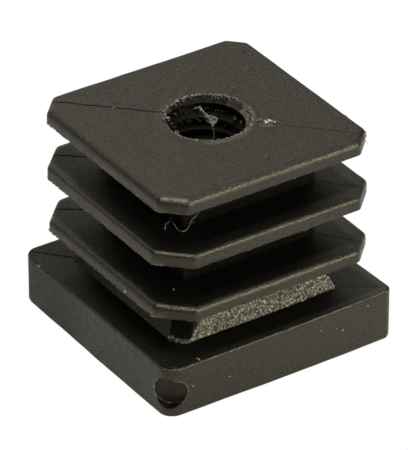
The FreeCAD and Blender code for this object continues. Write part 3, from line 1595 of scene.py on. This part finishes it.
@dataclass
class GateScar:
    """The torn crater where the plastic ran into the mould, beside the mouth."""

    centre: Span = (5.05, -4.45)
    turn: float = -38.0
    reach: float = 1.35
    half_width: float = 0.85
    rise: float = 0.20
    face: float = 26.03
    rings: int = 16
    around: int = 56
    pits: tuple[Point, ...] = ((-0.72, 0.05, 0.42), (0.85, -0.1, 0.36))

    def _height(self, along: np.ndarray, side: np.ndarray, share: np.ndarray) -> np.ndarray:
        """The torn surface's height over the fin's face.

        Args:
            along: Each point's distance from the middle, along the crater.
            side: The same, across it.
            share: How far out each point is, from 0 to 1.

        Returns:
            A height for each point.
        """
        spots = np.column_stack([along, side, np.zeros(len(along))])
        torn = 0.5 + 0.9 * noise_at(spots, 2.2, 5.0) + 0.5 * noise_at(spots, 6.0, 6.0)
        height = self.rise * torn * np.clip((1 - share) * 3.0, 0, 1)
        for place, off, radius in self.pits:
            reach = np.hypot(along - place, side - off) / radius
            height -= 0.22 * np.exp(-(reach ** 2) * 1.6)
            height += 0.10 * np.exp(-((reach - 1.25) ** 2) * 9.0) * (share < 0.97)
        return np.clip(height, -0.1, 0.24)

    def build(self, finish: bpy.types.Material) -> bpy.types.Object:
        """Makes the crater as a closed, ragged patch sunk into the fin.

        Args:
            finish: The torn plastic.

        Returns:
            The crater.
        """
        angle = np.arange(self.around) / self.around * 2 * math.pi
        rim = np.column_stack([np.cos(angle), np.sin(angle), np.zeros(self.around)])
        rag = 1 + 0.28 * noise_at(rim, 1.3, 8.0) + 0.12 * noise_at(rim, 4.0, 9.0)
        turn = math.radians(self.turn)
        rows = []
        for ring in range(self.rings + 1):
            share = 1 - ring / (self.rings + 0.4)
            along = self.reach * share * rag * np.cos(angle)
            side = self.half_width * share * rag * np.sin(angle)
            height = self._height(along, side, np.full(self.around, share))
            x = self.centre[0] + along * math.cos(turn) - side * math.sin(turn)
            y = self.centre[1] + along * math.sin(turn) + side * math.cos(turn)
            if ring == 0:
                rows.append(np.column_stack([x, y, np.full(self.around, self.face - 0.3)]))
                height = np.full(self.around, -0.02)
            rows.append(np.column_stack([x, y, self.face + height]))
        points = np.concatenate(rows)
        mesh = mesh_from("gate_scar", points, tube_faces(len(rows), self.around))
        turn_outward(mesh)
        return settle(stand("gate_scar", mesh, finish))


@dataclass
class ErodedFace:
    """The coarse grain that a spark-cut mould left on the collar's right-hand face."""

    foot_left: float = -9.45
    foot_right: float = 10.25
    lean_left: float = 3.9
    lean_right: float = -1.1
    foot_out: float = 10.9
    foot_height: float = 6.08
    climb: float = 2.75
    lean_in: float = 1.89
    lift: float = 0.03
    grain: float = 0.30
    grain_per_mm: float = 3.4
    columns: int = 420
    rows: int = 66
    cell_share: float = 0.35
    middle: float = 0.3
    backing: float = 0.35

    def build(self, finish: bpy.types.Material) -> bpy.types.Object:
        """Lays a fine slab on the slope and roughens its outside.

        Args:
            finish: The plastic.

        Returns:
            The grained face.
        """
        tree = Tree(
            "eroded_face",
            {
                "Grain Height": self.grain * MM,
                "Lift": self.lift * MM,
                "Foot Left": self.foot_left * MM,
                "Foot Right": self.foot_right * MM,
            },
        )
        values = {
            "Size": (1.0, 1.0, 1.0),
            "Vertices X": self.columns,
            "Vertices Y": self.rows,
            "Vertices Z": 2,
        }
        slab = tree.node("GeometryNodeMeshCube", values=values)
        across, up, out = tree.parts(tree.node("GeometryNodeInputPosition"))
        across, up = across + 0.5, up + 0.5
        outer = tree.node("ShaderNodeMath", {"operation": "GREATER_THAN"}, {0: out, 1: 0.0})
        left = tree.given("Foot Left") + up * (self.lean_left * MM)
        right = tree.given("Foot Right") + up * (self.lean_right * MM)
        x = across * (right - left) + left
        y = up * (self.lean_in * MM) - self.foot_out * MM
        z = up * (self.climb * MM) + self.foot_height * MM
        laid = tree.node("ShaderNodeCombineXYZ", values={"X": x, "Y": y, "Z": z})
        coarse = tree.grain(laid, self.grain_per_mm / MM, 3.0, 0.7)
        values = {"Vector": laid, "Scale": self.grain_per_mm * 0.9 / MM, "Randomness": 1.0}
        cells = tree.node("ShaderNodeTexVoronoi", values=values)
        relief = (coarse - cells * self.cell_share - self.middle) * tree.given("Grain Height")
        backing = self.backing * MM
        height = outer * (relief + tree.given("Lift") + backing) - backing
        slope = math.hypot(self.climb, self.lean_in)
        outward = (0.0, -self.climb / slope, self.lean_in / slope)
        where = tree.vector("ADD", laid, tree.vector("SCALE", outward, height))
        values = {"Geometry": slab, "Position": where}
        rough = tree.node("GeometryNodeSetPosition", values=values)
        return settle(tree.grow(rough, finish))


class Tear(Enum):
    """The finishes of what was torn, cut or left hanging."""

    BLACK = TornPlastic("torn_black", (0.035, 0.033, 0.028), 0.5)
    DARK = TornPlastic("torn_dark", (0.008, 0.0075, 0.006), 0.5, pale=(0.05, 0.047, 0.04))
    PALE = TornPlastic("torn_pale", (0.10, 0.095, 0.08), 0.5, pale=(0.42, 0.40, 0.34), pale_from=0.3)
    STRIP = TornPlastic(
        "torn_strip", (0.02, 0.019, 0.016), 0.5, pale=(0.16, 0.155, 0.13), tear_per_mm=3.0
    )
    CUT = TornPlastic(
        "cut_burrs", (0.002, 0.0019, 0.0015), 0.55, gloss=0.25, pale=(0.02, 0.019, 0.016)
    )
    FLASH = TornPlastic("edge_flash", (0.045, 0.043, 0.036), 0.5, pale=(0.17, 0.16, 0.135))
    RUST = TornPlastic("rust", (0.35, 0.10, 0.05), 0.6, pale=(0.6, 0.3, 0.2))


Bit = tuple[Union[Crumbs, Shaving, GateScar], Tear]

MOUTH_STRIP = (
    (0.40, 2.95, 25.7), (0.66, 2.45, 25.95), (0.66, 1.75, 26.0), (0.62, 1.10, 25.95),
    (0.48, 0.10, 25.95), (0.16, -1.00, 25.90), (-0.05, -1.45, 25.75),
)
STRIP_RADII = (0.06, 0.26, 0.16, 0.09, 0.34, 0.32, 0.10)
STRIP_TAIL = ((-0.05, -1.45, 25.8), (-0.45, -2.35, 25.6), (-1.10, -3.30, 25.4))
STRIP_BRANCH = ((0.40, 0.35, 25.95), (1.10, -0.30, 25.9), (0.60, -1.00, 25.9), (0.05, -1.25, 25.85))
CORE_HAIR = (
    (-10.48, -7.87, 19.42), (-9.72, -6.90, 19.45), (-9.40, -7.05, 19.55), (-8.85, -6.40, 19.60),
    (-9.25, -7.95, 19.55), (-9.42, -8.82, 19.48), (-8.91, -9.38, 19.48), (-7.90, -8.80, 19.60),
    (-7.66, -8.80, 20.20), (-7.15, -8.80, 20.42), (-6.63, -8.80, 20.90), (-6.11, -8.80, 21.70),
)
HAIR_RADII = (0.05, 0.05, 0.04, 0.04, 0.04, 0.05, 0.05, 0.05, 0.05, 0.05, 0.04, 0.03)
SHORT_HAIR = ((-7.66, -8.80, 20.2), (-7.45, -8.80, 19.9), (-7.54, -8.82, 19.5))
FLANGE_HAIR = ((-10.71, -14.26, 6.28), (-10.5, -14.5, 6.33), (-10.56, -14.82, 6.26))
GATE_LUMPS = ((4.95, -4.4, 26.06), (5.2, -4.55, 26.12), (5.5, -4.5, 26.1), (5.7, -4.8, 26.05))
RIGHT_CORNER = (
    (11.6, -13.25, 25.6), (12.3, -12.6, 25.85), (13.0, -11.9, 25.95), (13.3, -11.4, 25.6),
    (13.45, -11.4, 24.9), (13.2, -11.9, 24.5),
)
COLLAR_FOOT = ((-10.75, -9.1, 6.2), (-10.5, -9.9, 6.25), (-10.0, -10.55, 6.25), (-9.3, -10.95, 6.2))
NICKS = (
    (13.35, -7.6, 25.75), (13.3, -7.9, 25.8), (-14.88, 11.5, 6.1), (-14.86, 11.2, 6.15),
    (-13.55, -14.55, 6.2), (-13.75, -14.3, 6.15),
)
SPECKS = (
    (6.29, 3.88, 26.02), (-9.61, 10.10, 25.98), (-7.09, 7.52, 25.98), (-11.53, -14.99, 3.44),
    (-6.82, -14.99, 2.95), (11.63, -14.99, 5.52), (8.29, -14.99, 3.55), (5.31, -14.99, 4.50),
    (-13.97, -5.24, 11.24),
)
RUST = ((-10.5, -9.53, 12.56),)
STILL = (0.0, 0.0, 0.0)
LOOSE: tuple[Bit, ...] = (
    (Shaving("mouth_strip", MOUTH_STRIP, STRIP_RADII, wobble=0.9), Tear.STRIP),
    (Shaving("mouth_strip_tail", STRIP_TAIL, (0.10, 0.08, 0.05), wobble=0.6, seed=5.0), Tear.CUT),
    (
        Shaving("mouth_strip_branch", STRIP_BRANCH, (0.12, 0.16, 0.14, 0.1), wobble=0.5, seed=4.0),
        Tear.STRIP,
    ),
    (Shaving("core_hair", CORE_HAIR, HAIR_RADII, seed=2.0), Tear.PALE),
    (Shaving("core_hair_short", SHORT_HAIR, (0.03, 0.035, 0.03), seed=3.0), Tear.PALE),
    (Shaving("flange_hair", FLANGE_HAIR, (0.03, 0.035, 0.02), seed=6.0), Tear.PALE),
    (GateScar(), Tear.DARK),
    (
        Crumbs("gate_lumps", GATE_LUMPS, 0.10, 0.24, 11, (0.14, 0.14, 0.03), ragged=0.2, seed=14),
        Tear.PALE,
    ),
    (Crumbs("corner_bruise", RIGHT_CORNER, 0.03, 0.13, 34, ragged=0.12, seed=3), Tear.BLACK),
    (
        Crumbs("collar_flash", COLLAR_FOOT, 0.10, 0.30, 40, (0.12, 0.12, 0.08), ragged=0.2, seed=8),
        Tear.BLACK,
    ),
    (Crumbs("edge_nicks", NICKS, 0.09, 0.16, scatter=(0.03, 0.03, 0.03), seed=9), Tear.BLACK),
)


@dataclass
class Scars:
    """All the plug's small damage: burrs, shavings, bruises, nicks and dust."""

    plug: Plug
    turn_lows: Span = (24.42, 23.02)
    dust_count: int = 150
    seed: int = 5

    def mouth_burrs(self) -> list[Bit]:
        """The crumbs round the upper mouth's ragged edge, and the dark ones on its bevel.

        Returns:
            The crumbs, each with its finish.
        """
        hole = self.plug.hole
        flat = circle(hole.edge(), hole.mouth_centre)
        line = np.column_stack([flat, self.plug.face + hole.lift() * 0.8])[np.argsort(ANGLES)]
        tear = between(line, 203, 240) * (1.02, 1.02, 1.0)
        left, far, near = between(line, 135, 200), between(line, 8, 130), between(line, 205, 330)
        low = line * (0.95, 0.95, 1.0) - (0.0, 0.0, 0.25)
        fine, small, wide = (0.05, 0.05, 0.02), (0.06, 0.06, 0.03), (0.12, 0.12, 0.06)
        torn = (
            Crumbs("mouth_burrs", line, 0.03, 0.15, 150, (0.12, 0.12, 0.04), True, ragged=0.14),
            Crumbs("near_tear", tear, 0.05, 0.14, 18, fine, ragged=0.15, seed=24),
            Crumbs("mouth_lumps", left, 0.06, 0.19, 16, (0.08, 0.08, 0.05), ragged=0.2, seed=17),
            Crumbs("far_lumps", far, 0.08, 0.26, 34, wide, ragged=0.22, seed=18),
            Crumbs("near_burrs", near, 0.04, 0.13, 130, small, ragged=0.12, seed=19),
        )
        dark = Crumbs("bevel_burrs", low, 0.04, 0.2, 120, (0.15,) * 3, True, ragged=0.2, seed=23)
        return [*((crumbs, Tear.BLACK) for crumbs in torn), (dark, Tear.DARK)]

    def turn_burrs(self) -> list[Bit]:
        """The torn crests of the uppermost turns, as far as they show from above.

        Returns:
            The crumbs, each with its finish.
        """
        turn = np.radians(np.linspace(-20.0, 200.0, 40))
        crest = self.plug.hole.crest_r + 0.08
        made = []
        for row, low in enumerate(self.turn_lows):
            height = low + Thread().pitch * (turn / (2 * math.pi))
            path = np.column_stack([crest * np.cos(turn), crest * np.sin(turn), height])
            crumbs = Crumbs(
                f"turn_burrs_{row + 1}", path, 0.08, 0.28, 40, (0.10, 0.10, 0.22), ragged=0.2,
                roundness=1, seed=60 + row,
            )
            made.append((crumbs, Tear.CUT))
        return made

    def edges(self) -> list[Bit]:
        """The pocket's thin edge, and the flash along the fins' lower edges, most to the left.

        Returns:
            The bits, each with its finish.
        """
        left_rim, right_rim = self.plug.pocket_rim(135.0, 215.0), self.plug.pocket_rim(70.0, -45.0)
        made: list[Bit] = [
            (Shaving("pocket_edge_left", left_rim, (0.07,) * 9, seed=7.0), Tear.BLACK),
            (Shaving("pocket_edge_right", right_rim, (0.04,) * 9, seed=9.0), Tear.BLACK),
        ]
        for place, fin in enumerate(self.plug.fins):
            left = Crumbs(
                f"left_edge_{place + 1}", fin.lower_edge(140.0, 222.0), 0.03, 0.10, 280,
                (0.03, 0.05, 0.03), ragged=0.06, roundness=1, seed=30 + place,
            )
            front = Crumbs(
                f"front_edge_{place + 1}", fin.lower_edge(222.0, 300.0), 0.02, 0.06, 120,
                (0.05, 0.03, 0.03), ragged=0.06, roundness=1, seed=40 + place,
            )
            made += [(left, Tear.FLASH), (front, Tear.BLACK)]
        return made

    def dust(self, body: bpy.types.Object) -> list[Bit]:
        """The bright specks, the rust-coloured one, and a fine pale dust on every side.

        Args:
            body: The finished body, on whose faces the dust lies.

        Returns:
            The specks, each with its finish.
        """
        chooser = np.random.default_rng(self.seed)
        faces = body.data.polygons
        middles = np.array([list(face.center) for face in faces]) / MM
        areas = np.array([face.area for face in faces])
        facing = np.array([face.normal[2] for face in faces])
        out = (np.hypot(middles[:, 0], middles[:, 1]) > 6.0) & (facing > -0.2)
        weight = areas * out * (0.35 + np.clip(facing, 0, 1))
        chosen = chooser.choice(len(faces), self.dust_count, False, weight / weight.sum())
        fine = Crumbs(
            "dust", middles[chosen], 0.02, 0.055, scatter=(0.02, 0.02, 0.0), ragged=0.03,
            roundness=1, seed=12,
        )
        return [
            (Crumbs("bright_specks", SPECKS, 0.07, 0.13, scatter=STILL, seed=2), Tear.PALE),
            (Crumbs("rust_speck", RUST, 0.10, 0.12, scatter=STILL), Tear.RUST),
            (fine, Tear.PALE),
        ]

    def build(self, body: bpy.types.Object) -> None:
        """Makes them all.

        Args:
            body: The finished body.
        """
        looks = {tear: tear.value.material() for tear in Tear}
        bits = [*self.mouth_burrs(), *self.turn_burrs(), *LOOSE, *self.edges(), *self.dust(body)]
        for bit, tear in bits:
            bit.build(looks[tear])


def toward(azimuth: float, elevation: float) -> Vector:
    """The direction at an azimuth, from +X towards +Y, and an elevation, both in degrees."""
    turn, tilt = math.radians(azimuth), math.radians(elevation)
    return Vector((math.cos(turn) * math.cos(tilt), math.sin(turn) * math.cos(tilt), math.sin(tilt)))


@dataclass
class Setting:
    """The floor, the lamps, the world and the camera."""

    floor_span: float = 3.0
    floor_gap: float = 0.02
    floor_level: float = 0.82
    floor_share: float = 0.96
    bounce_share: float = 0.4
    near_right: Span = (7.0, 23.0)
    card_levels: Span = (0.62, 2.35)
    card_rise: Span = (0.40, 0.48)
    card_right: float = 0.47
    card_side: Span = (0.833, -0.553)
    card_fades: Span = (0.60, 0.66)
    card_from: Span = (0.5, 0.866)
    floor_gloss: float = 0.16
    right_gloss: float = 0.58
    warmth: Colour = (1.0, 0.965, 0.90)
    azimuth: float = -33.563
    elevation: float = 31.891
    distance: float = 536.06
    slide: Span = (-0.171, 10.443)
    lamp_aim: float = 15.0
    focal_pixels: float = 4770.6
    frame_pixels: float = 450.0

    def floor(self) -> None:
        """A plain white floor: white to the camera, with the shadow, and clear from below."""
        half = self.floor_span / 2 / MM
        corners = [(-half, -half), (half, -half), (half, half), (-half, half)]
        points = np.array([(x, y, -self.floor_gap) for x, y in corners])
        made = stand("floor", mesh_from("floor", points, [(0, 1, 2, 3)]), None)
        look = bpy.data.materials.new("white_floor")
        look.use_nodes = True
        graph = Graph(look.node_tree)
        level = self.floor_level
        matt = graph.node("ShaderNodeBsdfDiffuse", values={"Color": (level, level, level, 1)})
        camera = graph.node("ShaderNodeLightPath", output="Is Camera Ray")
        x, y, _ = graph.parts(graph.place())
        near_right = (x * RIGHTWARD[0] + y * RIGHTWARD[1]).ramp(*self.near_right)
        shine = camera + (1 - camera) * (self.floor_gloss + near_right * self.right_gloss)
        glow = graph.node("ShaderNodeEmission", values={"Color": (1, 1, 1, 1), "Strength": shine})
        bounces = sum(
            graph.node("ShaderNodeLightPath", output=ray) * self.bounce_share
            for ray in ("Is Glossy Ray", "Is Transmission Ray")
        )
        shared = camera * self.floor_share + bounces
        above = graph.node("ShaderNodeMixShader", values={0: shared, 1: matt, 2: glow})
        under = graph.node("ShaderNodeNewGeometry", output="Backfacing")
        clear = graph.node("ShaderNodeBsdfTransparent")
        both = graph.node("ShaderNodeMixShader", values={0: under, 1: above, 2: clear})
        graph.node("ShaderNodeOutputMaterial", values={"Surface": both})
        made.data.materials.append(look)
        made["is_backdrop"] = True

    def world(self) -> None:
        """White to the camera, and otherwise a soft white card behind the plug."""
        world = bpy.data.worlds.new("studio")
        bpy.context.scene.world = world
        world.use_nodes = True
        graph = Graph(world.node_tree)
        camera = graph.node("ShaderNodeLightPath", output="Is Camera Ray")
        direction = graph.node("ShaderNodeTexCoord", output="Generated")
        x, y, height = graph.parts(direction)
        behind = (x * self.card_from[0] + y * self.card_from[1]).ramp(0.1, 0.5)
        low, high = self.card_levels
        level = height.ramp(*self.card_rise) * (high - low) + low
        rightward = (x * self.card_side[0] + y * self.card_side[1]).ramp(-0.15, 0.15)
        level = level * (1 - rightward * (1 - self.card_right))
        card = height.ramp(self.card_fades[1], self.card_fades[0]) * behind * level
        level = camera + (1 - camera) * card
        colour = graph.mix(camera, self.warmth, (1.0, 1.0, 1.0))
        back = graph.node("ShaderNodeBackground", values={"Color": colour, "Strength": level})
        graph.node("ShaderNodeOutputWorld", values={"Surface": back})

    def lamp(self, box: SoftBox) -> None:
        """Hangs a soft box, turned towards the plug.

        Args:
            box: Its name, size, place and power.
        """
        lamp = bpy.data.lights.new(box.name, "AREA")
        lamp.shape = "RECTANGLE"
        lamp.size = box.width
        lamp.size_y = box.height
        lamp.energy = box.watts
        lamp.color = self.warmth
        made = bpy.data.objects.new(box.name, lamp)
        bpy.context.scene.collection.objects.link(made)
        way = toward(box.azimuth, box.elevation)
        made.location = way * box.distance + Vector((0, 0, self.lamp_aim * MM))
        made.rotation_euler = way.to_track_quat("Z", "Y").to_euler()
        made.visible_camera = False

    def camera(self) -> None:
        """The camera, at the photograph's own angle and distance."""
        back = toward(self.azimuth - 90.0, self.elevation)
        right = toward(self.azimuth, 0.0)
        up = back.cross(right)
        lens = bpy.data.cameras.new("camera")
        lens.sensor_width = 36.0
        lens.lens = self.focal_pixels / self.frame_pixels * lens.sensor_width
        lens.clip_start = 0.01
        lens.clip_end = 20.0
        made = bpy.data.objects.new("camera", lens)
        bpy.context.scene.collection.objects.link(made)
        spot = (back * self.distance + right * self.slide[0] + up * self.slide[1]) * MM
        turned = Matrix((right, up, back)).transposed().to_4x4()
        made.matrix_world = Matrix.Translation(spot) @ turned
        bpy.context.scene.camera = made

    def build(self) -> None:
        """Makes the whole setting."""
        self.floor()
        self.world()
        for box in BOXES:
            self.lamp(box)
        self.camera()
        bpy.context.scene.view_settings.view_transform = "Standard"


def corners() -> list[list[float]]:
    """The shown object's lowest and highest corners, as plain lists."""
    return [list(corner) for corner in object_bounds()]


def main() -> None:
    """Builds every piece in order and reports it."""
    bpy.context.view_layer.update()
    finishes = {
        Skin.MOULDED: MouldedPlastic("moulded_black", (0.0004, 0.0004, 0.0003), 0.37, gloss=0.62),
        Skin.DULL: TornPlastic(
            "dull_black", (0.004, 0.0038, 0.003), 0.55, gloss=0.4, pale=(0.01, 0.0095, 0.008)
        ),
        # A paler finish for a crescent of the mouth's bevel.
        Skin.PALE_CRESCENT: TornPlastic(
            "pale_crescent_black", (0.03, 0.029, 0.024), 0.42, pale=(0.085, 0.082, 0.068), tear_per_mm=2.0
        ),
        # This finish also paints shade on the collar's front cut.
        Skin.TAPPED_AND_SHADE: TornPlastic(
            "cut_black_and_shade", (0.0015, 0.0014, 0.0012), 0.6, gloss=0.12, pale=(0.006, 0.0058, 0.0048)
        ),
    }
    skins = {skin: finish.material() for skin, finish in finishes.items()}
    # Painted highlight: the pale streaks stand in for glints of the grain's facets, over the black plastic.
    grained_with_glints = TornPlastic(
        "grained_black_painted_glints", (0.012, 0.0115, 0.009), 0.3, pale=(0.44, 0.415, 0.335), tear_per_mm=4.0,
        pale_from=0.47, pale_to=0.67,
    ).material()
    plug = Plug()
    body = plug.build(skins)
    Thread().build(skins[Skin.TAPPED_AND_SHADE])
    ErodedFace().build(grained_with_glints)
    Scars(plug).build(body)
    Setting().build()


if __name__ == "__main__":
    main()
